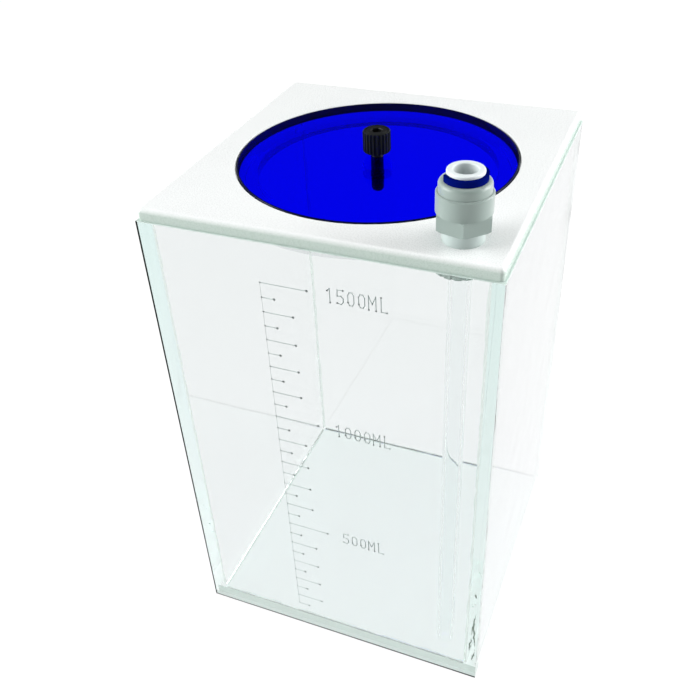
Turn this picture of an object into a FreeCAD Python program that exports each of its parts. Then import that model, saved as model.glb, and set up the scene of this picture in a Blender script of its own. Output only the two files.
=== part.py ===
import FreeCAD, Part
import math
import os

# Square clear-acrylic collecting container with a lift-off blue lid and a push-fit tube port.
# Millimetres. +Z is up, the origin is the centre of the base's underside, and the front panel,
# which carries the millilitre scale, faces -Y. The tube port stands at the front right corner.

# Tank: five clear panels and a white top plate, all cut from one sheet thickness.
TANK_WIDTH = 108.0
SHEET = 4.0
TANK_HEIGHT = 174.0
PLATE_INSET = 0.6
PLATE_CORNER_RADIUS = 1.2
PLATE_EDGE_RADIUS = 1.4

# Lid: a disc that lies flush in the plate's mouth, on a seat ring bonded below the plate.
MOUTH_RADIUS = 44.0
LID_GAP = 0.3
SEAT_OUTER_RADIUS = 48.0
SEAT_INNER_RADIUS = 42.0
LOCATING_RING_GAP = 0.6
LOCATING_RING_WIDTH = 4.0
LOCATING_RING_HEIGHT = 3.0
EDGE_BREAK = 0.3

# Knob: a knurled cap pressed over the head of an M4 socket-head screw. It stands clear of the lid,
# and the screw turns in a round tapped boss that is bonded under the lid.
KNOB_RADIUS = 4.3
KNOB_LIFT = 1.6
KNOB_HEIGHT = 6.6
KNURL_COUNT = 24
KNURL_DEPTH = 0.3
SCREW_RADIUS = 2.0
SCREW_HEAD_RADIUS = 3.5
SCREW_HEAD_HEIGHT = 4.0
SCREW_REACH = 12.5
SOCKET_FLATS = 3.0
SOCKET_DEPTH = 2.2
TURNING_FIT = 0.05
BOSS_RADIUS = 4.6
BOSS_HEIGHT = 3.2

# Tube port: heights are measured up from the plate's top face.
PORT_X = 39.5
PORT_Y = -41.7
TUBE_RADIUS = 3.175
TUBE_BORE_RADIUS = 2.16
TUBE_FIT = 0.025
STEM_RADIUS = 4.86
STEM_REACH = 8.6
STEM_HOLE_GAP = 0.14
COLLAR_RADIUS = 5.72
COLLAR_TOP = 4.0
HEX_FLATS = 14.0
HEX_TOP = 8.3
HEX_TURN = -75.0
HEX_CORNER_BREAK = 0.5
BARREL_RADIUS = 7.5
BARREL_TOP = 13.8
TUBE_STOP_RADIUS = 2.3
TUBE_STOP_BASE = -2.0
SEAL_CHAMBER_BASE = 8.5
SEAL_CHAMBER_RADIUS = 4.9
CAP_SOCKET_BASE = 11.6
CAP_SOCKET_RADIUS = 6.0
CAP_RADIUS = 6.9
CAP_TOP = 16.9
CAP_SHOULDER_RADIUS = 1.2
CAP_MOUTH_RADIUS = 4.2
CAP_CONE_BASE = 13.0
CAP_CONE_TOP = 16.0
NUT_RADIUS = 7.5
NUT_HEIGHT = 3.4
NUT_FLUTE_COUNT = 16
NUT_FLUTE_DEPTH = 0.35

# Inside the port: O-ring, spacer, collet with its steel teeth, and the locking clip.
SEAL_SECTION_RADIUS = 0.85
SPACER_HEIGHT = 1.2
COLLET_BASE = 11.7
BARB_RADIUS = 4.6
BARB_HEIGHT = 1.2
BARB_TAPER = 1.0
NECK_RADIUS = 4.1
FLANGE_RADIUS = 4.93
FLANGE_BASE = 18.7
FLANGE_TOP = 19.6
FLANGE_ROUND = 0.4
SLOT_WIDTH = 0.8
SLOT_TOP = 16.4
TEETH_BASE = 12.3
TEETH_THICKNESS = 0.3
TEETH_OUTER_RADIUS = 3.9
CLIP_RADIUS = 5.8
CLIP_GAP = 0.1
CLIP_PLAY = 0.05
CLIP_LEG_REACH = 3.2
CLIP_PULL_ANGLE = -23.0

# Dip tube: bonded into the stem from below, it ends just above the tank's floor.
DIP_TUBE_FLOOR_GAP = 1.5

# Scale engraved on the front panel: one mark each 50 mL, which is 5 mm of depth.
MARK_COUNT = 30
MARK_STEP = 5.0
MARK_ZERO = 7.0
MARK_LEFT = -15.5
MARK_SHORT = 4.0
MARK_MEDIUM = 9.5
MARK_LONG = 14.5
MARK_WIDTH = 0.35
MARK_DEPTH = 0.2

HALF = TANK_WIDTH / 2
PLATE_BASE = TANK_HEIGHT - SHEET
LID_RADIUS = MOUTH_RADIUS - LID_GAP
KNOB_BASE = TANK_HEIGHT + KNOB_LIFT
KNOB_TOP = KNOB_BASE + KNOB_HEIGHT
PORT_BORE_RADIUS = TUBE_RADIUS + TUBE_FIT
STEM_BASE = -STEM_REACH
NUT_BASE = -SHEET - NUT_HEIGHT


def box(x0, y0, z0, x1, y1, z1):
    corner = FreeCAD.Vector(x0, y0, z0)
    return Part.makeBox(x1 - x0, y1 - y0, z1 - z0, corner)


def cylinder(radius, z0, z1, x=0.0, y=0.0):
    return Part.makeCylinder(radius, z1 - z0, FreeCAD.Vector(x, y, z0))


def turned(outline):
    """Solid of revolution about Z from a closed outline of (radius, height) points."""
    points = [FreeCAD.Vector(radius, 0, height) for radius, height in outline]
    face = Part.Face(Part.makePolygon(points + points[:1]))
    return face.revolve(FreeCAD.Vector(0, 0, 0), FreeCAD.Vector(0, 0, 1), 360)


def ring(outer, inner, z0, z1):
    return turned([(inner, z0), (outer, z0), (outer, z1), (inner, z1)])


def hexagon(flats, z0, z1, turn):
    """Hexagonal prism about Z with one corner pointing at the angle turn, in degrees."""
    corners = []
    for index in range(6):
        angle = math.radians(turn + 60 * index)
        reach = flats / 2 / math.cos(math.pi / 6)
        corners.append(FreeCAD.Vector(reach * math.cos(angle), reach * math.sin(angle), z0))
    face = Part.Face(Part.makePolygon(corners + corners[:1]))
    return face.extrude(FreeCAD.Vector(0, 0, z1 - z0))


def around(tool, count):
    """Copies of a cutting tool, evenly spaced about Z."""
    copies = []
    for index in range(count):
        turned_tool = tool.copy()
        turned_tool.rotate(FreeCAD.Vector(0, 0, 0), FreeCAD.Vector(0, 0, 1), 360 * index / count)
        copies.append(turned_tool)
    return copies


def edges_at(shape, height, least_length=0.0):
    """Edges that lie in the horizontal plane at this height."""
    found = []
    for edge in shape.Edges:
        bounds = edge.BoundBox
        flat = abs(bounds.ZMin - height) < 1e-4 and abs(bounds.ZMax - height) < 1e-4
        if flat and edge.Length > least_length:
            found.append(edge)
    return found


def at_port(shape):
    """Moves a tube-port piece from its own axis to its place on the plate."""
    placed = shape.copy()
    placed.translate(FreeCAD.Vector(PORT_X, PORT_Y, TANK_HEIGHT))
    return placed


def save(name, shape):
    if not shape.isValid() or shape.Volume <= 0:
        raise ValueError(name + " is not a valid solid")
    shape.exportStep("parts/" + name + ".step")
    print(name, round(shape.Volume, 1))


def base_panel():
    return box(-HALF, -HALF, 0, HALF, HALF, SHEET)


def scale_grooves():
    """Engraved marks: a thin spine, and a short, medium or long mark each 50, 100 or 500 mL."""
    depth = -HALF + MARK_DEPTH
    half_width = MARK_WIDTH / 2
    low = MARK_ZERO + MARK_STEP
    high = MARK_ZERO + MARK_STEP * MARK_COUNT
    tools = [box(MARK_LEFT - half_width, -HALF - 1, low, MARK_LEFT + half_width, depth, high)]
    for index in range(1, MARK_COUNT + 1):
        length = MARK_SHORT
        if index % 2 == 0:
            length = MARK_MEDIUM
        if index % 10 == 0:
            length = MARK_LONG
        height = MARK_ZERO + MARK_STEP * index
        left = MARK_LEFT - half_width
        tools.append(box(left, -HALF - 1, height - half_width,
                         MARK_LEFT + length, depth, height + half_width))
    return tools


def front_panel():
    panel = box(-HALF, -HALF, SHEET, HALF, -HALF + SHEET, PLATE_BASE)
    return panel.cut(scale_grooves())


def back_panel():
    return box(-HALF, HALF - SHEET, SHEET, HALF, HALF, PLATE_BASE)


def side_panel(side):
    """Side panel between the front and back panels; side is -1 for left and 1 for right."""
    outer = side * HALF
    inner = side * (HALF - SHEET)
    inset = HALF - SHEET
    return box(min(outer, inner), -inset, SHEET, max(outer, inner), inset, PLATE_BASE)


def top_plate():
    reach = HALF - PLATE_INSET
    plate = box(-reach, -reach, PLATE_BASE, reach, reach, TANK_HEIGHT)
    upright = [edge for edge in plate.Edges if abs(edge.BoundBox.ZLength - SHEET) < 1e-4]
    plate = plate.makeFillet(PLATE_CORNER_RADIUS, upright)
    plate = plate.makeFillet(PLATE_EDGE_RADIUS, edges_at(plate, TANK_HEIGHT))
    mouth = cylinder(MOUTH_RADIUS, PLATE_BASE - 1, TANK_HEIGHT + 1)
    port_hole = cylinder(STEM_RADIUS + STEM_HOLE_GAP, PLATE_BASE - 1, TANK_HEIGHT + 1,
                         PORT_X, PORT_Y)
    plate = plate.cut([mouth, port_hole])
    rim = edges_at(plate, TANK_HEIGHT, 2 * math.pi * MOUTH_RADIUS - 1)
    return plate.makeChamfer(EDGE_BREAK, rim)


def lid_seat_ring():
    return ring(SEAT_OUTER_RADIUS, SEAT_INNER_RADIUS, PLATE_BASE - SHEET, PLATE_BASE)


def lid_disc():
    disc = cylinder(LID_RADIUS, PLATE_BASE, TANK_HEIGHT)
    disc = disc.makeChamfer(EDGE_BREAK, edges_at(disc, TANK_HEIGHT))
    return disc.cut(cylinder(SCREW_RADIUS + TURNING_FIT, PLATE_BASE - 1, TANK_HEIGHT + 1))


def lid_locating_ring():
    outer = SEAT_INNER_RADIUS - LOCATING_RING_GAP
    inner = outer - LOCATING_RING_WIDTH
    return ring(outer, inner, PLATE_BASE - LOCATING_RING_HEIGHT, PLATE_BASE)


def knob_cap():
    """Knurled plastic cap, open at the top over the screw's head."""
    floor = KNOB_TOP - SCREW_HEAD_HEIGHT
    cap = cylinder(KNOB_RADIUS, KNOB_BASE, KNOB_TOP)
    cap = cap.makeChamfer(EDGE_BREAK, edges_at(cap, KNOB_TOP) + edges_at(cap, KNOB_BASE))
    cap = cap.cut([cylinder(SCREW_HEAD_RADIUS, floor, KNOB_TOP + 1),
                   cylinder(SCREW_RADIUS, KNOB_BASE - 1, KNOB_TOP)])
    flute = cylinder(2 * KNURL_DEPTH, KNOB_BASE - 1, KNOB_TOP + 1, KNOB_RADIUS + KNURL_DEPTH)
    return cap.cut(around(flute, KNURL_COUNT))


def knob_screw():
    """M4 socket-head screw: its head sits in the cap and its shank passes down through the lid."""
    floor = KNOB_TOP - SCREW_HEAD_HEIGHT
    tip = TANK_HEIGHT - SCREW_REACH
    head_edge = KNOB_TOP - EDGE_BREAK
    screw = turned([(0, tip), (SCREW_RADIUS - EDGE_BREAK, tip), (SCREW_RADIUS, tip + EDGE_BREAK),
                    (SCREW_RADIUS, floor), (SCREW_HEAD_RADIUS, floor),
                    (SCREW_HEAD_RADIUS, head_edge), (SCREW_HEAD_RADIUS - EDGE_BREAK, KNOB_TOP),
                    (0, KNOB_TOP)])
    return screw.cut(hexagon(SOCKET_FLATS, KNOB_TOP - SOCKET_DEPTH, KNOB_TOP + 1, 0))


def knob_boss():
    """Round boss bonded under the lid, in which the screw turns."""
    return ring(BOSS_RADIUS, SCREW_RADIUS + TURNING_FIT, PLATE_BASE - BOSS_HEIGHT, PLATE_BASE)


def connector_body():
    """Stem, collar, hexagon and barrel in one moulding, with a tube stop inside."""
    stem = turned([(0, STEM_BASE), (STEM_RADIUS - EDGE_BREAK, STEM_BASE),
                   (STEM_RADIUS, STEM_BASE + EDGE_BREAK), (STEM_RADIUS, 0), (0, 0)])
    collar = cylinder(COLLAR_RADIUS, 0, COLLAR_TOP)
    corner = HEX_FLATS / 2 / math.cos(math.pi / 6)
    drop = HEX_CORNER_BREAK * math.tan(math.pi / 6)
    trim = turned([(0, COLLAR_TOP), (corner - HEX_CORNER_BREAK, COLLAR_TOP),
                   (corner, COLLAR_TOP + drop), (corner, HEX_TOP - drop),
                   (corner - HEX_CORNER_BREAK, HEX_TOP), (0, HEX_TOP)])
    hexagonal = hexagon(HEX_FLATS, COLLAR_TOP, HEX_TOP, HEX_TURN).common(trim)
    barrel = cylinder(BARREL_RADIUS, HEX_TOP, BARREL_TOP)
    barrel = barrel.makeChamfer(EDGE_BREAK, edges_at(barrel, BARREL_TOP))
    body = stem.fuse([collar, hexagonal, barrel]).removeSplitter()
    bore = turned([(0, STEM_BASE - 1), (PORT_BORE_RADIUS, STEM_BASE - 1),
                   (PORT_BORE_RADIUS, TUBE_STOP_BASE), (TUBE_STOP_RADIUS, TUBE_STOP_BASE),
                   (TUBE_STOP_RADIUS, COLLAR_TOP), (PORT_BORE_RADIUS, COLLAR_TOP),
                   (PORT_BORE_RADIUS, SEAL_CHAMBER_BASE),
                   (SEAL_CHAMBER_RADIUS, SEAL_CHAMBER_BASE),
                   (SEAL_CHAMBER_RADIUS, CAP_SOCKET_BASE), (CAP_SOCKET_RADIUS, CAP_SOCKET_BASE),
                   (CAP_SOCKET_RADIUS, BARREL_TOP + 1), (0, BARREL_TOP + 1)])
    return body.cut(bore)


def connector_cap():
    """Retaining cap pressed into the barrel; its inner cone closes the collet's fingers."""
    cap = turned([(SEAL_CHAMBER_RADIUS, CAP_SOCKET_BASE), (CAP_SOCKET_RADIUS, CAP_SOCKET_BASE),
                  (CAP_SOCKET_RADIUS, BARREL_TOP), (CAP_RADIUS, BARREL_TOP),
                  (CAP_RADIUS, CAP_TOP), (CAP_MOUTH_RADIUS, CAP_TOP),
                  (CAP_MOUTH_RADIUS, CAP_CONE_TOP), (SEAL_CHAMBER_RADIUS, CAP_CONE_BASE)])
    rim = edges_at(cap, CAP_TOP, 2 * math.pi * CAP_RADIUS - 1)
    return cap.makeFillet(CAP_SHOULDER_RADIUS, rim)


def connector_lock_nut():
    """Round fluted nut that clamps the plate from below."""
    nut = ring(NUT_RADIUS, STEM_RADIUS, NUT_BASE, -SHEET)
    flute = cylinder(2 * NUT_FLUTE_DEPTH, NUT_BASE - 1, -SHEET - 1,
                     NUT_RADIUS + NUT_FLUTE_DEPTH)
    return nut.cut(around(flute, NUT_FLUTE_COUNT))


def tube_o_ring():
    """O-ring in the shape that it has when a tube is in the port."""
    centre = PORT_BORE_RADIUS + SEAL_SECTION_RADIUS
    height = SEAL_CHAMBER_BASE + SEAL_SECTION_RADIUS
    return Part.makeTorus(centre, SEAL_SECTION_RADIUS, FreeCAD.Vector(0, 0, height))


def o_ring_spacer():
    base = SEAL_CHAMBER_BASE + 2 * SEAL_SECTION_RADIUS
    return ring(SEAL_CHAMBER_RADIUS, PORT_BORE_RADIUS, base, base + SPACER_HEIGHT)


def finger_slots():
    """Two crossing slots that part the collet's lower end into four fingers."""
    half = SLOT_WIDTH / 2
    reach = BARB_RADIUS + 1
    return [box(-reach, -half, COLLET_BASE - 1, reach, half, SLOT_TOP),
            box(-half, -reach, COLLET_BASE - 1, half, reach, SLOT_TOP)]


def collet():
    """Collet sleeve: four barbed fingers below, a plain neck and a domed flange on top."""
    barb_top = COLLET_BASE + BARB_HEIGHT
    sleeve = turned([(PORT_BORE_RADIUS, COLLET_BASE), (BARB_RADIUS - EDGE_BREAK, COLLET_BASE),
                     (BARB_RADIUS, COLLET_BASE + EDGE_BREAK), (BARB_RADIUS, barb_top),
                     (NECK_RADIUS, barb_top + BARB_TAPER), (NECK_RADIUS, FLANGE_BASE),
                     (FLANGE_RADIUS, FLANGE_BASE), (FLANGE_RADIUS, FLANGE_TOP),
                     (PORT_BORE_RADIUS, FLANGE_TOP)])
    sleeve = sleeve.makeFillet(FLANGE_ROUND, edges_at(sleeve, FLANGE_TOP))
    groove = ring(TEETH_OUTER_RADIUS, PORT_BORE_RADIUS - 1, TEETH_BASE,
                  TEETH_BASE + TEETH_THICKNESS)
    return sleeve.cut([groove] + finger_slots())


def collet_teeth():
    """Stainless tooth ring in the fingers' groove, parted by the same slots."""
    teeth = ring(TEETH_OUTER_RADIUS, PORT_BORE_RADIUS, TEETH_BASE, TEETH_BASE + TEETH_THICKNESS)
    return teeth.cut(finger_slots())


def locking_clip():
    """U-shaped clip under the collet's flange; it pulls out along its closed side."""
    low = CAP_TOP + CLIP_PLAY
    high = FLANGE_BASE - CLIP_PLAY
    inner = NECK_RADIUS + CLIP_GAP
    clip = cylinder(CLIP_RADIUS, low, high)
    way_out = box(-CLIP_RADIUS - 1, -inner, low - 1, 0, inner, high + 1)
    leg_trim = box(-CLIP_RADIUS - 1, -CLIP_RADIUS - 1, low - 1, -CLIP_LEG_REACH,
                   CLIP_RADIUS + 1, high + 1)
    clip = clip.cut([cylinder(inner, low - 1, high + 1), way_out, leg_trim])
    clip.rotate(FreeCAD.Vector(0, 0, 0), FreeCAD.Vector(0, 0, 1), CLIP_PULL_ANGLE)
    return clip


def dip_tube():
    lower_end = SHEET + DIP_TUBE_FLOOR_GAP - TANK_HEIGHT
    return ring(TUBE_RADIUS, TUBE_BORE_RADIUS, lower_end, TUBE_STOP_BASE)


os.makedirs("parts", exist_ok=True)
save("base_panel", base_panel())
save("front_panel", front_panel())
save("back_panel", back_panel())
save("left_panel", side_panel(-1))
save("right_panel", side_panel(1))
save("top_plate", top_plate())
save("lid_seat_ring", lid_seat_ring())
save("lid_disc", lid_disc())
save("lid_locating_ring", lid_locating_ring())
save("knob_cap", knob_cap())
save("knob_screw", knob_screw())
save("knob_boss", knob_boss())
save("connector_body", at_port(connector_body()))
save("connector_cap", at_port(connector_cap()))
save("connector_lock_nut", at_port(connector_lock_nut()))
save("tube_o_ring", at_port(tube_o_ring()))
save("o_ring_spacer", at_port(o_ring_spacer()))
save("collet", at_port(collet()))
save("collet_teeth", at_port(collet_teeth()))
save("locking_clip", at_port(locking_clip()))
save("dip_tube", at_port(dip_tube()))
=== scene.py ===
import math

import bmesh
import bpy
from mathutils import Matrix, Vector, noise


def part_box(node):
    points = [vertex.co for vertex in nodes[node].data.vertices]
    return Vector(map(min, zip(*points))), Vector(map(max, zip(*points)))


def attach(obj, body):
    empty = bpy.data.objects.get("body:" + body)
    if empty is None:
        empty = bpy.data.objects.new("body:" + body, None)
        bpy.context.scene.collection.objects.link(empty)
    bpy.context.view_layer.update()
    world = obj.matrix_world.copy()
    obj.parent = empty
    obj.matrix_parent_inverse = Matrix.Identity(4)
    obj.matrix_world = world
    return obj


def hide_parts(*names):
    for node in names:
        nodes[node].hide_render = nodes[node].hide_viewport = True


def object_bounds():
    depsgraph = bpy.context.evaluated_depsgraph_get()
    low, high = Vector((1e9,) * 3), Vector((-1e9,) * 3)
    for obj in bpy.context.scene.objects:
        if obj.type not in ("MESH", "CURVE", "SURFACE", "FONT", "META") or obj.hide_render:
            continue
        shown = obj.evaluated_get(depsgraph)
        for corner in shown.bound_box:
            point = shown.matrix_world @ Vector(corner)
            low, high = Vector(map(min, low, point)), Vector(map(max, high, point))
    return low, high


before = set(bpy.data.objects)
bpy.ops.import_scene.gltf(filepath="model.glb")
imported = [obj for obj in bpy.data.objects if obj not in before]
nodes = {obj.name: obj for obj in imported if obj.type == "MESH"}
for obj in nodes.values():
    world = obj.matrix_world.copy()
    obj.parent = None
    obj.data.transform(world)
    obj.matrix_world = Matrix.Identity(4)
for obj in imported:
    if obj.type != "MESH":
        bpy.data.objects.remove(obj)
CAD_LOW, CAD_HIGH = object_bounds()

# Clear container for measured liquid: a square tank of clear sheet under a white top plate, with
# a blue lift-off lid, a black knob and a push-fit tube port. Metres, in the frame of the CAD.

MM = 0.001

# Camera: its azimuth turns from +Y towards +X.
CAMERA_PLACE = (0.089585, -0.231138, 0.285114)
CAMERA_AZIMUTH = math.radians(-23.8716)
CAMERA_DOWN = math.radians(36.9061)
CAMERA_ROLL = math.radians(-3.05556)
CAMERA_LENS = 43.93
CAMERA_SENSOR = 36.0

# Studio: VIEW_SIDE points to the camera's right, and the lid mirrors the studio along LID_MIRROR.
FLOOR_WIDTH = 60.0
FLOOR_GAP = 0.3 * MM
FLOOR_GLOW = 0.91
VIEW_SIDE = Vector((0.9145, 0.4047, 0.0))
CAMERA_SIDE_DIM = 0.12
BACKDROP_BRIGHT = 0.8
BACKDROP_FADE = (-0.3, 0.5)
LID_MIRROR = (-0.323, 0.730, 0.602)
LID_MIRROR_DIM = 0.1
LID_MIRROR_FADE = (0.78, 0.9)
HORIZON_FADE = (0.02, 0.07)
OVERHEAD_HEIGHT = 1.5
OVERHEAD_SIZE = 1.2
OVERHEAD_POWER = 7.0
SIDE_DISTANCE = 1.2
SIDE_HEIGHT = 0.5
SIDE_SIZE = 0.9
SIDE_POWER = 22.0
LIGHT_BOUNCES = 28

ACRYLIC_IOR = 1.49


# Materials

def node_adder(tree):
    """Function that adds a node of a kind to the tree and sets its properties."""
    def add(kind, **values):
        node = tree.nodes.new(kind)
        for key, value in values.items():
            setattr(node, key, value)
        return node

    return add


def new_material(name):
    """Empty node material with its output; returns (material, node adder, link maker, output)."""
    material = bpy.data.materials.new(name)
    material.use_nodes = True
    tree = material.node_tree
    tree.nodes.clear()
    add = node_adder(tree)
    return material, add, tree.links.new, add("ShaderNodeOutputMaterial")


def noise_texture(add, link, place, scale, detail=3.0, roughness=0.5):
    texture = add("ShaderNodeTexNoise")
    texture.inputs["Scale"].default_value = scale
    texture.inputs["Detail"].default_value = detail
    texture.inputs["Roughness"].default_value = roughness
    link(place, texture.inputs["Vector"])
    return texture


def map_range(add, link, source, low, high, to_low, to_high):
    node = add("ShaderNodeMapRange")
    limits = {"From Min": low, "From Max": high, "To Min": to_low, "To Max": to_high}
    for socket, value in limits.items():
        node.inputs[socket].default_value = value
    link(source, node.inputs["Value"])
    return node.outputs["Result"]


def bump(add, link, height, distance, strength, normal=None):
    node = add("ShaderNodeBump")
    node.inputs["Distance"].default_value = distance
    node.inputs["Strength"].default_value = strength
    link(height, node.inputs["Height"])
    if normal is not None:
        link(normal, node.inputs["Normal"])
    return node.outputs["Normal"]


def set_sockets(shader, sockets):
    for socket, value in sockets.items():
        shader.inputs[socket].default_value = value


def mix_colours(add, link, factor, first, second):
    """Colour mix; first and second are a colour or the socket of one."""
    mix = add("ShaderNodeMix", data_type="RGBA")
    link(factor, mix.inputs["Factor"])
    for socket, colour in zip(("A", "B"), (first, second)):
        socket = next(item for item in mix.inputs if item.name == socket and item.type == "RGBA")
        if isinstance(colour, bpy.types.NodeSocket):
            link(colour, socket)
        else:
            socket.default_value = (*colour, 1.0)
    return next(item for item in mix.outputs if item.type == "RGBA")


def solid_material(
        name, colour, shade, rough, grain_scale, grain_height, mottle_scale=60.0, below=None, **sockets):
    """Opaque finish: colour runs to shade in soft noise, and a fine grain varies roughness and height.

    below is a colour that takes over under a height, with the two heights between which it fades out; it
    paints shade or light onto what lies under that height.
    """
    material, add, link, output = new_material(name)
    shader = add("ShaderNodeBsdfPrincipled")
    place = add("ShaderNodeTexCoord").outputs["Object"]
    mottle = noise_texture(add, link, place, mottle_scale, 4.0, 0.6)
    grain = noise_texture(add, link, place, grain_scale, 2.0)
    patches = map_range(add, link, mottle.outputs["Fac"], 0.35, 0.7, 0.0, 1.0)
    finish = mix_colours(add, link, patches, colour, shade)
    if below:
        low_colour, fade_low, fade_high = below
        split = add("ShaderNodeSeparateXYZ")
        link(place, split.inputs[0])
        above = map_range(add, link, split.outputs["Z"], fade_low, fade_high, 0.0, 1.0)
        finish = mix_colours(add, link, above, low_colour, finish)
    link(finish, shader.inputs["Base Color"])
    link(map_range(add, link, grain.outputs["Fac"], 0.3, 0.7, *rough), shader.inputs["Roughness"])
    link(bump(add, link, grain.outputs["Fac"], grain_height, 0.6), shader.inputs["Normal"])
    set_sockets(shader, sockets)
    link(shader.outputs["BSDF"], output.inputs["Surface"])
    return material


def glass_material(
        name, tint, absorbed, density, roughness=0.0, wave_height=0.004 * MM, contact=0.0, **sockets):
    """Clear plastic that lets lamps through, with a faint waviness and the tint of its depth.

    contact is the share of light that passes unbent, as where a face rests on what lies beyond it.
    """
    material, add, link, output = new_material(name)
    shader = add("ShaderNodeBsdfPrincipled")
    place = add("ShaderNodeTexCoord").outputs["Object"]
    wave = noise_texture(add, link, place, 45.0, 1.0)
    scuff = noise_texture(add, link, place, 700.0, 5.0, 0.7)
    normal = bump(add, link, wave.outputs["Fac"], wave_height * 12, 0.5)
    normal = bump(add, link, scuff.outputs["Fac"], wave_height * 0.3, 0.4, normal)
    link(normal, shader.inputs["Normal"])
    shader.inputs["Base Color"].default_value = (*tint, 1.0)
    shader.inputs["Transmission Weight"].default_value = 1.0
    shader.inputs["IOR"].default_value = ACRYLIC_IOR
    shader.inputs["Roughness"].default_value = roughness
    set_sockets(shader, sockets)
    lamps = add("ShaderNodeBsdfTransparent")
    lamps.inputs["Color"].default_value = (*tint, 1.0)
    share = add("ShaderNodeMath", operation="MAXIMUM")
    link(add("ShaderNodeLightPath").outputs["Is Shadow Ray"], share.inputs[0])
    share.inputs[1].default_value = contact
    mix = add("ShaderNodeMixShader")
    link(share.outputs["Value"], mix.inputs["Fac"])
    link(shader.outputs["BSDF"], mix.inputs[1])
    link(lamps.outputs["BSDF"], mix.inputs[2])
    link(mix.outputs["Shader"], output.inputs["Surface"])
    if density:
        volume = add("ShaderNodeVolumeAbsorption")
        volume.inputs["Color"].default_value = (*absorbed, 1.0)
        volume.inputs["Density"].default_value = density
        link(volume.outputs["Volume"], output.inputs["Volume"])
    return material


# clear_acrylic is tinted darker than its front copy: painted shade on the side, back and base faces, with
# the front faces lighter.
clear_acrylic = glass_material("clear_acrylic", (0.84, 0.85, 0.855), (0.82, 0.95, 0.93), 2.5)
front_acrylic = glass_material("clear_acrylic_front", (0.935, 0.955, 0.95), (0.82, 0.95, 0.93), 2.5)
resting_acrylic = glass_material(
    "clear_acrylic_underside", (0.96, 0.965, 0.965), (0.80, 0.96, 0.93), 2.5, contact=0.9)
# Darker underside strip below the front sheet: painted shade along the tank's front bottom edge.
front_base_painted_shade = glass_material(
    "front_base_painted_shade", (0.66, 0.71, 0.69), (0.80, 0.96, 0.93), 2.5, contact=0.95)
bond_film = glass_material(
    "bond_film", (0.80, 0.835, 0.815), (0.6, 0.9, 0.7), 60.0, 0.05, contact=0.97, IOR=1.05)
side_film = glass_material(
    "side_film", (0.965, 0.975, 0.97), (0.6, 0.9, 0.7), 60.0, 0.05, contact=0.97, IOR=1.05)
cement = glass_material("solvent_cement", (0.86, 0.91, 0.88), (0.6, 0.9, 0.7), 60.0, 0.05, 0.02 * MM)
blue_acrylic = glass_material(
    "blue_acrylic", (0.0, 0.014, 0.97), (0.0, 0.1, 0.98), 500.0,
    0.06, IOR=1.07, **{"Specular Tint": (0.0, 0.01, 0.6, 1.0)})
# Opaque dark navy on the lid's outer edge: painted shade standing in for the dark line around the lid's rim.
lid_rim_painted_shade = solid_material(
    "lid_rim_painted_shade", (0.0, 0.001, 0.02), (0.0, 0.002, 0.05), (0.2, 0.3), 3000.0, 0.01 * MM,
    **{"Specular IOR Level": 0.1})
clear_tube = glass_material("clear_tube", (0.975, 0.985, 0.985), (0.7, 0.95, 0.9), 6.0, 0.03, IOR=1.12)
# The plate's lower band, its front and side edges, is painted grey-green: painted shade where the edge faces
# away from the light.
white_acrylic = solid_material(
    "white_acrylic", (0.83, 0.85, 0.845), (0.81, 0.83, 0.825), (0.24, 0.32), 2500.0, 0.004 * MM,
    below=((0.46, 0.55, 0.50), 172.5 * MM, 173.9 * MM))
sawn_edge = solid_material(
    "sawn_edge", (0.62, 0.72, 0.68), (0.52, 0.62, 0.58), (0.4, 0.6), 3000.0, 0.01 * MM,
    mottle_scale=400.0)
# Connector body and cap: white acetal painted mid grey, painted shade; the collar below 177.7 mm is painted
# lighter, painted light.
white_acetal = solid_material(
    "white_acetal", (0.26, 0.325, 0.30), (0.23, 0.295, 0.27), (0.30, 0.42), 3500.0, 0.01 * MM,
    below=((0.46, 0.54, 0.52), 177.7 * MM, 178.1 * MM), **{"Sheen Weight": 1.0, "Sheen Roughness": 0.35})
# The lock nut's white acetal painted grey: painted shade under the plate.
nut_acetal_painted_shade = solid_material(
    "nut_acetal_painted_shade", (0.30, 0.37, 0.34), (0.26, 0.33, 0.30), (0.30, 0.42), 3500.0, 0.01 * MM)
collet_acetal = solid_material(
    "collet_acetal", (0.74, 0.80, 0.80), (0.70, 0.76, 0.76), (0.30, 0.42), 3500.0, 0.01 * MM)
blue_acetal = solid_material(
    "blue_acetal", (0.001, 0.005, 0.12), (0.001, 0.004, 0.09), (0.22, 0.34), 3000.0, 0.01 * MM,
    **{"Specular IOR Level": 0.0})
black_nylon = solid_material(
    "black_nylon", (0.003, 0.005, 0.006), (0.008, 0.010, 0.011), (0.35, 0.6), 4000.0, 0.03 * MM,
    **{"Specular IOR Level": 0.15})
black_steel = solid_material(
    "black_steel", (0.004, 0.005, 0.006), (0.010, 0.011, 0.011), (0.3, 0.45), 5000.0, 0.01 * MM,
    **{"Specular IOR Level": 0.2})
stainless = solid_material(
    "stainless_steel", (0.55, 0.55, 0.54), (0.48, 0.48, 0.47), (0.2, 0.35), 5000.0, 0.006 * MM, Metallic=1.0)
black_rubber = solid_material(
    "black_rubber", (0.012, 0.012, 0.013), (0.02, 0.02, 0.02), (0.5, 0.7), 4000.0, 0.02 * MM)
engraving = solid_material(
    "frosted_engraving", (0.58, 0.65, 0.63), (0.40, 0.47, 0.46), (0.6, 0.8), 6000.0, 0.02 * MM)
engraving_pit = solid_material(
    "engraving_pit", (0.03, 0.04, 0.04), (0.08, 0.10, 0.095), (0.5, 0.7), 6000.0, 0.02 * MM)
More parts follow.
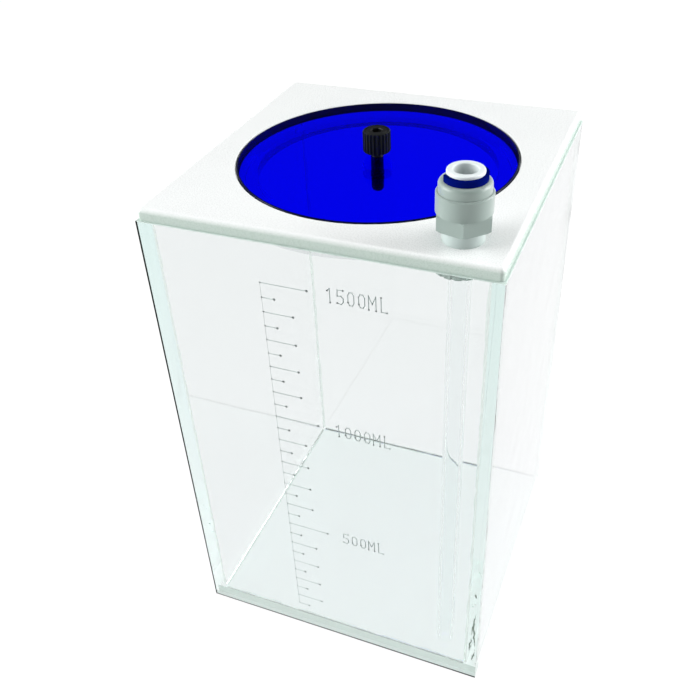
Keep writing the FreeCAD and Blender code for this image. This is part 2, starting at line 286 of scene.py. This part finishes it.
# Near-black finish on two outer tank edges: painted shade standing in for the dark line along those edges.
painted_dark_edge = solid_material(
    "painted_dark_edge", (0.004, 0.006, 0.005), (0.02, 0.026, 0.022), (0.3, 0.5), 4000.0, 0.02 * MM,
    **{"Specular IOR Level": 0.0})
bubble_skin = solid_material(
    "bubble_skin", (0.55, 0.62, 0.58), (0.16, 0.22, 0.18), (0.1, 0.3), 3000.0, 0.01 * MM,
    mottle_scale=900.0)
starved_cement = solid_material(
    "starved_cement", (0.03, 0.05, 0.04), (0.20, 0.26, 0.20), (0.15, 0.4), 3000.0, 0.02 * MM,
    mottle_scale=500.0)

NODE_MATERIALS = {
    clear_acrylic: (
        "base_panel", "front_panel", "back_panel", "left_panel", "right_panel", "lid_seat_ring"),
    white_acrylic: ("top_plate",),
    blue_acrylic: ("lid_disc", "lid_locating_ring", "knob_boss"),
    black_nylon: ("knob_cap",),
    black_steel: ("knob_screw",),
    stainless: ("collet_teeth",),
    white_acetal: ("connector_body", "connector_cap"),
    nut_acetal_painted_shade: ("connector_lock_nut",),
    collet_acetal: ("collet", "o_ring_spacer"),
    blue_acetal: ("locking_clip",),
    black_rubber: ("tube_o_ring",),
    clear_tube: ("dip_tube",),
}
for material, names in NODE_MATERIALS.items():
    for name in names:
        for material_slot in nodes[name].material_slots:
            material_slot.material = material


# Mesh building

def link_piece(name, mesh, body, slot, *stands_for):
    """Adds a mesh as a named piece that rides on a body and may stand for CAD nodes."""
    piece = bpy.data.objects.new(name, mesh)
    bpy.context.scene.collection.objects.link(piece)
    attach(piece, body)
    if stands_for:
        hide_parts(*stands_for)
    return piece


def mesh_from(name, bm, *materials, smooth_angle=None):
    """Turns a bmesh into a mesh; faces that meet below smooth_angle degrees are shaded smooth."""
    bmesh.ops.recalc_face_normals(bm, faces=bm.faces)
    mesh = bpy.data.meshes.new(name)
    bm.to_mesh(mesh)
    bm.free()
    for material in materials:
        mesh.materials.append(material)
    if smooth_angle:
        mesh.shade_smooth()
        mesh.set_sharp_from_angle(angle=math.radians(smooth_angle))
    return mesh


def lofted(bm, rings, closed_ends=True, material=0):
    """Skins a list of rings of points, each ring closed on itself, and caps the two ends."""
    verts = [[bm.verts.new(point) for point in ring] for ring in rings]
    faces = []
    for here, after in zip(verts, verts[1:]):
        for index in range(len(here)):
            follow = (index + 1) % len(here)
            faces.append(bm.faces.new((here[index], here[follow], after[follow], after[index])))
    if closed_ends:
        faces.append(bm.faces.new(verts[0]))
        faces.append(bm.faces.new(verts[-1]))
    for face in faces:
        face.material_index = material


def turned(outline, steps=160):
    """Closed solid of revolution about Z from a closed outline of (radius, height)."""
    bm = bmesh.new()
    rings = []
    for step in range(steps + 1):
        angle = 2 * math.pi * step / steps
        rings.append([(r * math.cos(angle), r * math.sin(angle), z) for r, z in outline])
    lofted(bm, rings, closed_ends=False)
    bmesh.ops.remove_doubles(bm, verts=bm.verts, dist=0.001 * MM)
    return bm


def eased(outline, corner_steps=3):
    """Closed outline of (radius, height) from corners (radius, height, ease), each cut by a curve."""
    points = []
    for before, corner, after in zip(outline[-1:] + outline[:-1], outline, outline[1:] + outline[:1]):
        tip = Vector(corner[:2])
        start = tip + (Vector(before[:2]) - tip).normalized() * corner[2]
        end = tip + (Vector(after[:2]) - tip).normalized() * corner[2]
        for step in range(corner_steps + 1):
            share = step / corner_steps
            point = start * (1 - share) ** 2 + tip * 2 * share * (1 - share) + end * share ** 2
            points.append(tuple(point))
    return points


# Tank: solvent cement melts its five sheets into one clear solid, with sawn top edges under the plate.

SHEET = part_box("base_panel")[1].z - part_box("base_panel")[0].z
SHEET_EDGE = 0.12 * MM
PAINTED_DARK_EDGE_WIDTH = 0.65 * MM
BOND_GAP = 0.015 * MM
PLATE_BITE = 0.15 * MM
LONG_EDGE = 10 * MM

# Outer edges, each named by the sides that it lies between.
# The first two get a wide bevel painted near black: painted shade along the front-left and front-bottom
# edges.
PAINTED_DARK_EDGES = ((-1, -1, 0), (0, -1, -1))
PLAIN_EDGES = ((1, -1, 0), (1, 1, 0), (-1, 1, 0), (-1, 0, -1), (1, 0, -1), (0, 1, -1),
               (-1, 0, 1), (1, 0, 1), (0, -1, 1), (0, 1, 1))

# Order of the tank's materials.
(TANK_CLEAR, TANK_PAINTED_DARK, TANK_SAWN, TANK_FRONT, TANK_CUT, TANK_PIT,
 TANK_UNDERSIDE, TANK_PAINTED_SHADE_UNDERSIDE) = range(8)


def tank_bmesh():
    """Open box with broken outer edges; two of them are wide bevels painted near black, painted shade."""
    low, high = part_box("base_panel")
    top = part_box("front_panel")[1].z + PLATE_BITE
    around = ((-1, -1), (1, -1), (1, 1), (-1, 1))
    bm = bmesh.new()
    loops = []
    inner = high.x - SHEET
    for reach, height in ((high.x, low.z), (high.x, top), (inner, top), (inner, high.z)):
        loops.append([bm.verts.new((x * reach, y * reach, height)) for x, y in around])
    for here, after in zip(loops, loops[1:]):
        for index in range(4):
            follow = (index + 1) % 4
            face = bm.faces.new((here[index], here[follow], after[follow], after[index]))
            face.material_index = TANK_FRONT if index == 0 else TANK_CLEAR
    bm.faces.new(loops[0])
    bm.faces.new(loops[3])

    def is_outer(edge, direction):
        point = (edge.verts[0].co + edge.verts[1].co) / 2
        across = all(abs(point[i] - direction[i] * high.x) < BOND_GAP for i in (0, 1) if direction[i])
        level = low.z if direction[2] < 0 else top
        return across and (not direction[2] or abs(point.z - level) < BOND_GAP)

    dark_edge_run = [edge for edge in bm.edges if any(is_outer(edge, direction) for direction in PAINTED_DARK_EDGES)]
    bmesh.ops.bevel(
        bm, geom=dark_edge_run, offset=PAINTED_DARK_EDGE_WIDTH, segments=2, profile=1.0, affect="EDGES", material=TANK_PAINTED_DARK)
    plain = [
        edge for edge in bm.edges
        if edge.calc_length() > LONG_EDGE and any(is_outer(edge, direction) for direction in PLAIN_EDGES)]
    bmesh.ops.bevel(bm, geom=plain, offset=SHEET_EDGE, segments=2, profile=0.5, affect="EDGES")
    everything = bm.verts[:] + bm.edges[:] + bm.faces[:]
    bmesh.ops.bisect_plane(bm, geom=everything, plane_co=(0, low.y + SHEET, 0), plane_no=(0, 1, 0))
    for vert in bm.verts:
        vert.co.x = max(low.x, min(high.x, vert.co.x))
        vert.co.y = max(low.y, min(high.y, vert.co.y))
    for face in bm.faces:
        centre = face.calc_center_median()
        if centre.z > top - SHEET_EDGE:
            face.material_index = TANK_SAWN
        elif centre.z < low.z + BOND_GAP and face.material_index != TANK_PAINTED_DARK:
            face.material_index = TANK_PAINTED_SHADE_UNDERSIDE if centre.y < low.y + SHEET else TANK_UNDERSIDE
    return bm


# Scale: shallow V cuts in the front sheet with a pit at each end, and numerals of the same strokes.

MARK_COUNT = 30
MARK_STEP = 5.0 * MM
MARK_ZERO = 7.0 * MM
MARK_LEFT = -15.5 * MM
MARK_LENGTHS = {10: 14.5 * MM, 2: 9.5 * MM, 1: 4.0 * MM}
CUT_HALF_WIDTH = 0.16 * MM
CUT_FLOOR_HALF_WIDTH = 0.05 * MM
CUT_DEPTH = 0.2 * MM
SPINE_WEIGHT = 0.4
PIT_RADIUS = 0.4 * MM
PIT_DEPTH = 0.4 * MM
PIT_STEPS = 10
PIT_TURN = 0.37
CUT_ABOVE = 0.05 * MM
NUMERAL_LEFT = 4.6 * MM
NUMERAL_HEIGHT = 4.6 * MM
NUMERAL_STEP = 3.15 * MM
GLYPHS = {
    "0": [[(0.10, 0.25), (0.10, 0.75), (0.20, 0.96), (0.38, 0.96), (0.48, 0.75), (0.48, 0.25),
           (0.38, 0.04), (0.20, 0.04), (0.10, 0.25)]],
    "1": [[(0.14, 0.82), (0.30, 1.0), (0.30, 0.0)]],
    "5": [[(0.48, 1.0), (0.12, 1.0), (0.10, 0.56), (0.34, 0.60), (0.48, 0.44), (0.48, 0.18), (0.34, 0.0),
           (0.08, 0.06)]],
    "M": [[(0.04, 0.0), (0.04, 1.0), (0.27, 0.42), (0.50, 1.0), (0.50, 0.0)]],
    "L": [[(0.14, 1.0), (0.14, 0.0), (0.50, 0.0)]],
}


def cut_stroke(bm, front, start, end, weight=1.0):
    """Cutter for one V cut on the front face, from start to end, both (x, z)."""
    along = (Vector(end) - Vector(start)).normalized()
    side = Vector((-along.y, along.x))
    half, floor, deepest = CUT_HALF_WIDTH * weight, CUT_FLOOR_HALF_WIDTH * weight, CUT_DEPTH * weight
    section = ((-half, -CUT_ABOVE), (half, -CUT_ABOVE), (floor, deepest), (-floor, deepest))
    rings = []
    for point in (Vector(start) - along * half, Vector(end) + along * half):
        rings.append([
            (point.x + side.x * offset, front + depth, point.y + side.y * offset)
            for offset, depth in section])
    lofted(bm, rings, material=TANK_CUT)


def cut_pit(bm, front, place, size=1.0):
    """Cutter for the small pit that the tool leaves where it starts or stops."""
    rings = []
    outline = ((PIT_RADIUS, -CUT_ABOVE), (PIT_RADIUS * 0.9, PIT_DEPTH * 0.5), (PIT_RADIUS * 0.4, PIT_DEPTH))
    for radius, depth in outline:
        ring = []
        for step in range(PIT_STEPS):
            angle = 2 * math.pi * (step + PIT_TURN) / PIT_STEPS
            x = place[0] + radius * size * math.cos(angle)
            z = place[1] + radius * size * math.sin(angle)
            ring.append((x, front + depth, z))
        rings.append(ring)
    lofted(bm, rings, material=TANK_PIT)


def scale_cutters(front):
    """Cutters of the spine, the marks, the numerals and their pits, each a closed shape."""
    strokes, pits = [], []
    top = MARK_ZERO + MARK_COUNT * MARK_STEP
    spine = ((MARK_LEFT, MARK_ZERO + MARK_STEP), (MARK_LEFT, top))
    for number in range(1, MARK_COUNT + 1):
        length = next(MARK_LENGTHS[every] for every in (10, 2, 1) if number % every == 0)
        height = MARK_ZERO + number * MARK_STEP
        strokes.append(((MARK_LEFT, height), (MARK_LEFT + length, height)))
        pits.append(((MARK_LEFT, height), 0.6))
        pits.append(((MARK_LEFT + length, height), 1.0))
        if number % 10 == 0:
            base = height - NUMERAL_HEIGHT / 2
            for place, glyph in enumerate(str(number * 50) + "ML"):
                left = NUMERAL_LEFT + place * NUMERAL_STEP
                for line in GLYPHS[glyph]:
                    points = [(left + x * NUMERAL_HEIGHT, base + z * NUMERAL_HEIGHT) for x, z in line]
                    strokes += list(zip(points, points[1:]))
                    pits += [(points[0], 0.7), (points[-1], 0.7)]
    bm = bmesh.new()
    cut_stroke(bm, front, *spine, weight=SPINE_WEIGHT)
    for start, end in strokes:
        cut_stroke(bm, front, start, end)
    for place, size in pits:
        cut_pit(bm, front, place, size)
    return bm


def add_tank():
    """The tank with its scale cut into the outer face of the front sheet."""
    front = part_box("front_panel")[0].y
    finishes = (clear_acrylic, painted_dark_edge, sawn_edge, front_acrylic, engraving, engraving_pit,
                resting_acrylic, front_base_painted_shade)
    blank = mesh_from("tank_sheets", tank_bmesh(), *finishes)
    cutters = mesh_from("scale_cutters", scale_cutters(front), *finishes)
    tank = bpy.data.objects.new("tank_sheets", blank)
    tool = bpy.data.objects.new("scale_cutters", cutters)
    for item in (tank, tool):
        bpy.context.scene.collection.objects.link(item)
    cut = tank.modifiers.new("scale", "BOOLEAN")
    cut.object = tool
    cut.operation = "DIFFERENCE"
    cut.solver = "EXACT"
    cut.use_self = True
    engraved = bpy.data.meshes.new_from_object(tank.evaluated_get(bpy.context.evaluated_depsgraph_get()))
    bpy.data.objects.remove(tank)
    bpy.data.objects.remove(tool)
    for vert in engraved.vertices:
        vert.co.y = max(front, vert.co.y)
    link_piece(
        "tank_sheets", engraved, "container", "clear_acrylic",
        "base_panel", "front_panel", "back_panel", "left_panel", "right_panel")


add_tank()


# Seat ring under the plate, and the lid that rests on it

LID_HOLE_RADIUS = 1.5 * MM
LOCATING_RING_INNER = 37.4 * MM
SEAT_RING_INNER = 42.0 * MM
RING_EDGE = 0.2 * MM
LID_EDGE = 0.6 * MM
CRISP_EDGE = 0.05 * MM
TURNED_SMOOTH_ANGLE = 8


def add_seat_ring():
    low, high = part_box("lid_seat_ring")
    base, top, outer = low.z + BOND_GAP, high.z - BOND_GAP, high.x
    outline = eased([
        (SEAT_RING_INNER, base, RING_EDGE), (outer, base, RING_EDGE),
        (outer, top, RING_EDGE), (SEAT_RING_INNER, top, RING_EDGE)])
    mesh = mesh_from("seat_ring_sheet", turned(outline), resting_acrylic, smooth_angle=TURNED_SMOOTH_ANGLE)
    link_piece("seat_ring_sheet", mesh, "container", "clear_acrylic", "lid_seat_ring")


def add_lid():
    """Disc, locating ring and tapped boss as one clear blue solid: the cement between them doesn't show."""
    low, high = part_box("lid_disc")
    ring_low, ring_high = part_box("lid_locating_ring")
    boss_low, boss_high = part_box("knob_boss")
    outline = eased([
        (LID_HOLE_RADIUS, boss_low.z, CRISP_EDGE), (boss_high.x, boss_low.z, RING_EDGE),
        (boss_high.x, low.z, CRISP_EDGE), (LOCATING_RING_INNER, low.z, CRISP_EDGE),
        (LOCATING_RING_INNER, ring_low.z, RING_EDGE), (ring_high.x, ring_low.z, RING_EDGE),
        (ring_high.x, low.z, CRISP_EDGE), (high.x, low.z, LID_EDGE),
        (high.x, high.z, LID_EDGE), (LID_HOLE_RADIUS, high.z, CRISP_EDGE)])
    bm = turned(outline)
    # Faces at the rim take the dark navy painted shade.
    for face in bm.faces:
        if face.calc_center_median().xy.length > high.x - LID_EDGE:
            face.material_index = 1
    mesh = mesh_from("lid_sheet", bm, blue_acrylic, lid_rim_painted_shade, smooth_angle=TURNED_SMOOTH_ANGLE)
    link_piece("lid_sheet", mesh, "lid", "blue_acrylic", "lid_disc", "lid_locating_ring", "knob_boss")


add_seat_ring()
add_lid()


# Solvent cement: a thin uneven fillet in each inner corner of the tank

FILLET_LEG = 0.75 * MM
FILLET_STEP = 1.2 * MM
FILLET_END_GAP = 1.0 * MM
FILLET_ARC_STEPS = 4


def fillet_ring(place, first, second, legs):
    """Section of a concave fillet at place, with its legs along two directions."""
    corner = place + (first + second) * BOND_GAP
    ends = (corner + first * legs[0], corner + second * legs[1])
    hub = corner + first * legs[0] + second * legs[1]
    ring = [corner]
    for step in range(FILLET_ARC_STEPS + 1):
        angle = math.pi / 2 * step / FILLET_ARC_STEPS
        ring.append(hub - second * legs[1] * math.cos(angle) - first * legs[0] * math.sin(angle))
    ring[1], ring[-1] = ends
    return ring


def add_fillet(name, start, end, first, second, seed, leg=FILLET_LEG):
    """Cement along an inner corner from start to end; its legs swell and shrink as it was run in."""
    first, second = Vector(first), Vector(second)
    count = max(2, round((end - start).length / FILLET_STEP))
    rings = []
    for index in range(count + 1):
        place = start.lerp(end, index / count)
        legs = []
        for which in range(2):
            swell = noise.noise(Vector((index * 0.17, seed * 7.3, which * 3.1)))
            ripple = noise.noise(Vector((index * 0.9, seed * 3.7, which * 5.9)))
            legs.append(leg * max(0.25, 1.0 + 0.6 * swell + 0.35 * ripple))
        rings.append(fillet_ring(place, first, second, legs))
    bm = bmesh.new()
    lofted(bm, rings)
    mesh = mesh_from(name, bm, cement, smooth_angle=50)
    return link_piece(name, mesh, "container", "clear_acrylic")


def add_fillets():
    low = Vector((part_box("left_panel")[1].x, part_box("front_panel")[1].y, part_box("base_panel")[1].z))
    high = Vector((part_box("right_panel")[0].x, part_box("back_panel")[0].y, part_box("top_plate")[0].z))
    end_gap = FILLET_END_GAP
    corners = {
        "front_left": (low.x, low.y, 1, 1), "front_right": (high.x, low.y, -1, 1),
        "back_left": (low.x, high.y, 1, -1), "back_right": (high.x, high.y, -1, -1)}
    for seed, (corner, (x, y, x_in, y_in)) in enumerate(corners.items()):
        add_fillet(
            "cement_" + corner, Vector((x, y, low.z + end_gap)), Vector((x, y, high.z - end_gap)),
            (x_in, 0, 0), (0, y_in, 0), seed)
    runs = {
        "front": ((low.x, low.y), (high.x, low.y), (0, 1, 0)),
        "back": ((low.x, high.y), (high.x, high.y), (0, -1, 0)),
        "left": ((low.x, low.y), (low.x, high.y), (1, 0, 0)),
        "right": ((high.x, low.y), (high.x, high.y), (-1, 0, 0))}
    for seed, (side, (start, end, inward)) in enumerate(runs.items()):
        along = (Vector((*end, 0)) - Vector((*start, 0))).normalized() * end_gap
        for level, height, up, leg in (("base", low.z, 1, 1.2), ("top", high.z, -1, 0.6)):
            add_fillet(
                f"cement_{level}_{side}", Vector((*start, height)) + along, Vector((*end, height)) - along,
                inward, (0, 0, up), seed + 10 * leg, leg * FILLET_LEG)


add_fillets()


# Bubbles, films and starved patches that the cement left in the joints

# Side of the tank, bubbles in its joint, and their reach up it in millimetres.
BUBBLE_STRINGS = ((1, 46, 62.0), (-1, 34, 75.0))
FLOOR_BUBBLES = 40
BUBBLE_DEPTH = 0.12 * MM

def add_bubble(bm, place, size, flat_axis, flatness=0.35):
    scale = [size] * 3
    scale[flat_axis] = size * flatness
    matrix = Matrix.Translation(place) @ Matrix.Diagonal((*scale, 1.0))
    bmesh.ops.create_icosphere(bm, subdivisions=2, radius=1.0, matrix=matrix)


def add_joint_bubbles():
    """Strings of bubbles behind the front sheet's two joints, thickest near the tank's floor."""
    random = noise.random
    noise.seed_set(11)
    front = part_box("front_panel")[1].y - BUBBLE_DEPTH
    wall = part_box("right_panel")[0].x
    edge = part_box("right_panel")[1].x
    bm = bmesh.new()
    for side, count, reach in BUBBLE_STRINGS:
        for _ in range(count):
            across = wall + (edge - wall) * (0.1 + 0.8 * random())
            height = (4.5 + reach * random() ** 1.7) * MM
            size = (0.07 + 0.22 * random() ** 3) * MM
            add_bubble(bm, (side * across, front, height), size, 1)
    for _ in range(FLOOR_BUBBLES):
        across = (random() * 2 - 1) * wall
        add_bubble(bm, (across, front - 1.5 * MM * random(), 3.9 * MM), (0.06 + 0.16 * random()) * MM, 2)
    mesh = mesh_from("joint_bubbles", bm, bubble_skin, smooth_angle=60)
    link_piece("joint_bubbles", mesh, "container", "clear_acrylic")


STARVED_HALF_WIDTH = 0.32 * MM
STARVED_HALF_DEPTH = 0.03 * MM
STARVED_DEPTH = 0.06 * MM
STARVED_STEPS = 16
STARVED_SWAY = 0.35 * MM
FILM_INSET = 0.3 * MM
FILM_THICKNESS = 0.02 * MM

# Ends (x, z) of each void, in millimetres.
STARVED_RUNS = (((51.6, 45.5), (52.1, 43.0)), ((52.2, 34.0), (51.3, 22.0)), ((51.2, 20.5), (50.8, 12.5)),
                ((52.9, 13.0), (51.9, 7.5)), ((51.9, 28.5), (52.6, 16.0)))


def add_bond_films():
    """Films of cement in the joints between the front sheet and the base and side sheets."""
    low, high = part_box("base_panel")
    plane = low.y + SHEET
    wall, top = high.x - SHEET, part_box("front_panel")[1].z
    right = high.x - FILM_INSET
    spans = {
        "base": (low.x + PAINTED_DARK_EDGE_WIDTH, low.z + FILM_THICKNESS, right, high.z, bond_film),
        "front_right": (wall, high.z + FILM_INSET, right, top - FILM_INSET, side_film)}
    for name, (x0, z0, x1, z1, film) in spans.items():
        bm = bmesh.new()
        middle = Vector(((x0 + x1) / 2, plane, (z0 + z1) / 2))
        matrix = Matrix.Translation(middle) @ Matrix.Diagonal((x1 - x0, FILM_THICKNESS, z1 - z0, 1.0))
        bmesh.ops.create_cube(bm, size=1.0, matrix=matrix)
        link_piece("bond_film_" + name, mesh_from("bond_film", bm, film), "container", "clear_acrylic")


def add_starved_joint():
    """Thin ragged voids in the lower half of the front right joint, where the cement ran out."""
    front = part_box("front_panel")[1].y - STARVED_DEPTH
    bm = bmesh.new()
    for number, ((x0, z0), (x1, z1)) in enumerate(STARVED_RUNS):
        rings = []
        for index in range(STARVED_STEPS + 1):
            share = index / STARVED_STEPS
            half = STARVED_HALF_WIDTH * math.sin(math.pi * (0.04 + 0.92 * share))
            half *= 0.9 + 0.9 * noise.noise(Vector((index * 0.8, number * 4.1, 0.0)))
            sway = noise.noise(Vector((index * 0.4, number * 2.3, 9.0)))
            x = (x0 + (x1 - x0) * share) * MM + STARVED_SWAY * sway
            z = (z0 + (z1 - z0) * share) * MM
            half = max(half, 0.04 * MM)
            rings.append([
                (x - half, front, z), (x, front - STARVED_HALF_DEPTH, z),
                (x + half, front, z), (x, front + STARVED_HALF_DEPTH, z)])
        lofted(bm, rings)
    mesh = mesh_from("starved_joint", bm, starved_cement, smooth_angle=60)
    link_piece("starved_joint", mesh, "container", "clear_acrylic")


add_joint_bubbles()
add_bond_films()
add_starved_joint()


# Thumb screw: a socket head in the knob's cap and a threaded shank through the lid

SCREW_RADIUS = 1.98 * MM
THREAD_DEPTH = 0.34 * MM
THREAD_PITCH = 0.7 * MM
THREAD_ROWS = 8
SCREW_STEPS = 48
SCREW_HEAD_RADIUS = 3.48 * MM
SCREW_HEAD_HEIGHT = 4.0 * MM
SCREW_HEAD_EDGE = 0.3 * MM
SOCKET_APOTHEM = 1.5 * MM
SOCKET_DEPTH = 2.2 * MM
THREAD_TIP = 0.8 * MM
TIP_SHARE = 0.75


def round_ring(radius, height):
    angles = [2 * math.pi * step / SCREW_STEPS for step in range(SCREW_STEPS)]
    return [(radius * math.cos(angle), radius * math.sin(angle), height) for angle in angles]


def hexagon_ring(apothem, height):
    ring = []
    for step in range(SCREW_STEPS):
        angle = 2 * math.pi * step / SCREW_STEPS
        radius = apothem / math.cos((angle + math.pi / 6) % (math.pi / 3) - math.pi / 6)
        ring.append((radius * math.cos(angle), radius * math.sin(angle), height))
    return ring


def thread_ring(height, tip):
    """One row of the shank; the thread's ridge climbs one pitch in each turn and fades out at the tip."""
    ring = []
    taper = min(1.0, TIP_SHARE + (1 - TIP_SHARE) * (height - tip) / THREAD_TIP)
    for step in range(SCREW_STEPS):
        turn = step / SCREW_STEPS
        phase = (height / THREAD_PITCH - turn) % 1.0
        ridge = min(1.0, max(0.0, 1.3 - 2.6 * abs(phase - 0.5)))
        radius = (SCREW_RADIUS - THREAD_DEPTH * (1 - ridge)) * taper
        ring.append((radius * math.cos(2 * math.pi * turn), radius * math.sin(2 * math.pi * turn), height))
    return ring


def add_screw():
    low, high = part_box("knob_screw")
    tip, top = low.z, high.z
    head_base = top - SCREW_HEAD_HEIGHT + BOND_GAP
    rings = [
        hexagon_ring(SOCKET_APOTHEM * 0.3, top - SOCKET_DEPTH - 0.3 * MM),
        hexagon_ring(SOCKET_APOTHEM, top - SOCKET_DEPTH),
        hexagon_ring(SOCKET_APOTHEM, top - 0.2 * MM),
        hexagon_ring(SOCKET_APOTHEM + 0.15 * MM, top),
        round_ring(SCREW_HEAD_RADIUS - SCREW_HEAD_EDGE, top),
        round_ring(SCREW_HEAD_RADIUS, top - SCREW_HEAD_EDGE),
        round_ring(SCREW_HEAD_RADIUS, head_base),
        round_ring(SCREW_RADIUS, head_base - 0.1 * MM)]
    rows = round((head_base - tip) / THREAD_PITCH * THREAD_ROWS)
    for row in range(1, rows + 1):
        rings.append(thread_ring(head_base - 0.1 * MM + (tip - head_base + 0.1 * MM) * row / rows, tip))
    bm = bmesh.new()
    lofted(bm, rings)
    mesh = mesh_from("threaded_screw", bm, black_steel, smooth_angle=35)
    link_piece("threaded_screw", mesh, "knob", "black_steel", "knob_screw")


add_screw()


# Camera and studio

def add_camera():
    along = Vector((
        math.sin(CAMERA_AZIMUTH) * math.cos(CAMERA_DOWN),
        math.cos(CAMERA_AZIMUTH) * math.cos(CAMERA_DOWN),
        -math.sin(CAMERA_DOWN)))
    level = along.cross(Vector((0, 0, 1))).normalized()
    upright = level.cross(along)
    right = math.cos(CAMERA_ROLL) * level + math.sin(CAMERA_ROLL) * upright
    up = -math.sin(CAMERA_ROLL) * level + math.cos(CAMERA_ROLL) * upright
    data = bpy.data.cameras.new("camera")
    data.lens = CAMERA_LENS
    data.sensor_width = CAMERA_SENSOR
    data.clip_start = 0.01
    data.clip_end = 200.0
    camera = bpy.data.objects.new("camera", data)
    axes = Matrix((right, up, -along)).transposed().to_4x4()
    camera.matrix_world = Matrix.Translation(Vector(CAMERA_PLACE)) @ axes
    bpy.context.scene.collection.objects.link(camera)
    bpy.context.scene.camera = camera


def add_softbox(name, place, target, size, power):
    data = bpy.data.lights.new(name, "AREA")
    data.shape = "RECTANGLE"
    data.size = size
    data.size_y = size
    data.energy = power
    lamp = bpy.data.objects.new(name, data)
    lamp.location = place
    lamp.rotation_mode = "QUATERNION"
    lamp.rotation_quaternion = (Vector(target) - Vector(place)).to_track_quat("-Z", "Y")
    bpy.context.scene.collection.objects.link(lamp)


def add_world():
    """White behind the object and all round the horizon, dim above the camera and where the lid mirrors."""
    world = bpy.data.worlds.new("studio")
    world.use_nodes = True
    tree = world.node_tree
    add, link = node_adder(tree), tree.links.new
    direction = add("ShaderNodeTexCoord").outputs["Generated"]
    behind = add("ShaderNodeVectorMath", operation="DOT_PRODUCT")
    behind.inputs[1].default_value = (-VIEW_SIDE.y, VIEW_SIDE.x, 0.0)
    link(direction, behind.inputs[0])
    split = add("ShaderNodeSeparateXYZ")
    link(direction, split.inputs[0])
    mirrored = add("ShaderNodeVectorMath", operation="DOT_PRODUCT")
    mirrored.inputs[1].default_value = LID_MIRROR
    link(direction, mirrored.inputs[0])
    backdrop = add("ShaderNodeMath", operation="MULTIPLY")
    link(map_range(add, link, behind.outputs["Value"], *BACKDROP_FADE, CAMERA_SIDE_DIM, BACKDROP_BRIGHT),
         backdrop.inputs[0])
    link(map_range(add, link, mirrored.outputs["Value"], *LID_MIRROR_FADE, 1.0, LID_MIRROR_DIM),
         backdrop.inputs[1])
    brightest = add("ShaderNodeMath", operation="MAXIMUM")
    link(backdrop.outputs["Value"], brightest.inputs[0])
    link(map_range(add, link, split.outputs["Z"], *HORIZON_FADE, 1.0, 0.0), brightest.inputs[1])
    link(brightest.outputs["Value"], tree.nodes["Background"].inputs["Color"])
    bpy.context.scene.world = world


def add_floor():
    material, add, link, output = new_material("pale_floor")
    shader = add("ShaderNodeBsdfPrincipled")
    place = add("ShaderNodeTexCoord").outputs["Object"]
    fibre = noise_texture(add, link, place, 400.0)
    link(map_range(add, link, fibre.outputs["Fac"], 0.3, 0.7, 0.75, 0.85), shader.inputs["Roughness"])
    set_sockets(shader, {
        "Base Color": (0.12, 0.12, 0.12, 1), "Emission Color": (1, 1, 1, 1),
        "Emission Strength": FLOOR_GLOW, "Specular IOR Level": 0.1})
    link(shader.outputs["BSDF"], output.inputs["Surface"])
    mesh = bpy.data.meshes.new("floor")
    half = FLOOR_WIDTH / 2
    around = ((-half, -half), (half, -half), (half, half), (-half, half))
    corners = [(x, y, CAD_LOW.z - FLOOR_GAP) for x, y in around]
    mesh.from_pydata(corners, [], [(0, 1, 2, 3)])
    mesh.materials.append(material)
    floor = bpy.data.objects.new("floor", mesh)
    bpy.context.scene.collection.objects.link(floor)


add_camera()
add_world()
add_floor()
add_softbox("overhead", (0.0, 0.0, OVERHEAD_HEIGHT), (0, 0, 0.1), OVERHEAD_SIZE, OVERHEAD_POWER)
for side_name, side in (("left_side", -1), ("right_side", 1)):
    side_place = side * SIDE_DISTANCE * VIEW_SIDE + Vector((0, 0, SIDE_HEIGHT))
    add_softbox(side_name, side_place, (0, 0, 0.15), SIDE_SIZE, SIDE_POWER)
bpy.context.scene.view_settings.view_transform = "Standard"
paths = bpy.context.scene.cycles
paths.max_bounces = LIGHT_BOUNCES
paths.transmission_bounces = LIGHT_BOUNCES
paths.glossy_bounces = LIGHT_BOUNCES
paths.transparent_max_bounces = LIGHT_BOUNCES
